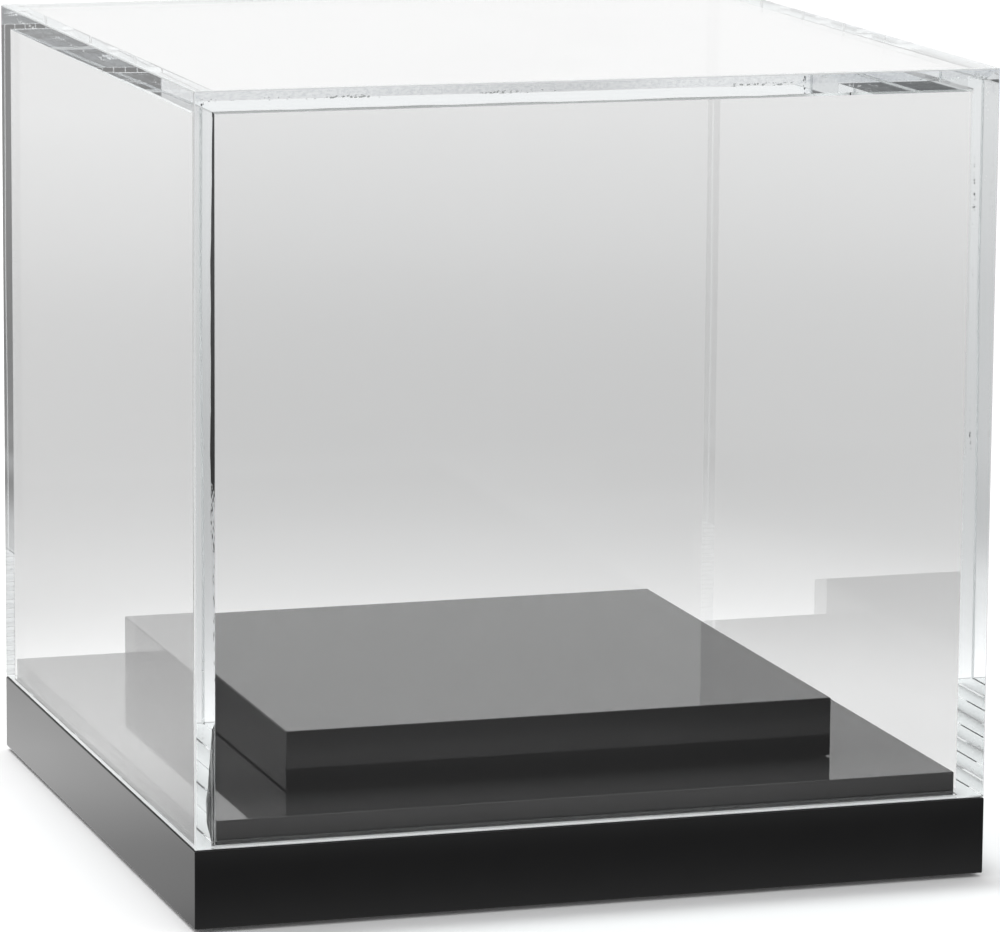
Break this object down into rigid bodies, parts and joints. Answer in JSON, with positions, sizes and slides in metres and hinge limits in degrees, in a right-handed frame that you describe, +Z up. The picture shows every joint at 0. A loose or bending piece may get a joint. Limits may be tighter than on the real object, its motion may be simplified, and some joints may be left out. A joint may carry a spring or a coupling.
{
  "type": "acrylic display cube",
  "caption": "Clear acrylic display cube: a mitred five-sided hood that lifts off a stepped gloss black base with a raised exhibit platform.",
  "frame": {"origin": "centre of the footprint, on the surface that the feet stand on", "axes": "+Z up, out of the exhibit platform; -Y is the front, and +X is to the right as the front is seen"},
  "size_m": [0.2, 0.2, 0.2],
  "materials": {
    "clear_acrylic": "clear, polished",
    "black_acrylic": "polished gloss",
    "foot_rubber": "matt",
    "screw_steel": "plain"
  },
  "bodies": {
    "base": {"base_slab": "black_acrylic", "locating_plate": "black_acrylic", "pedestal_block": "black_acrylic", "front_left_screw": "screw_steel", "front_right_screw": "screw_steel", "back_left_screw": "screw_steel", "back_right_screw": "screw_steel", "front_left_foot": "foot_rubber", "front_right_foot": "foot_rubber", "back_left_foot": "foot_rubber", "back_right_foot": "foot_rubber"},
    "hood": {"hood_front_panel": "clear_acrylic", "hood_back_panel": "clear_acrylic", "hood_left_panel": "clear_acrylic", "hood_right_panel": "clear_acrylic", "hood_top_panel": "clear_acrylic"}
  },
  "joints": [
    {"name": "hood_lift", "type": "slide", "parent": "base", "child": "hood", "axis": [0, 0, 1], "range_m": [0, 0.2]}
  ]
}
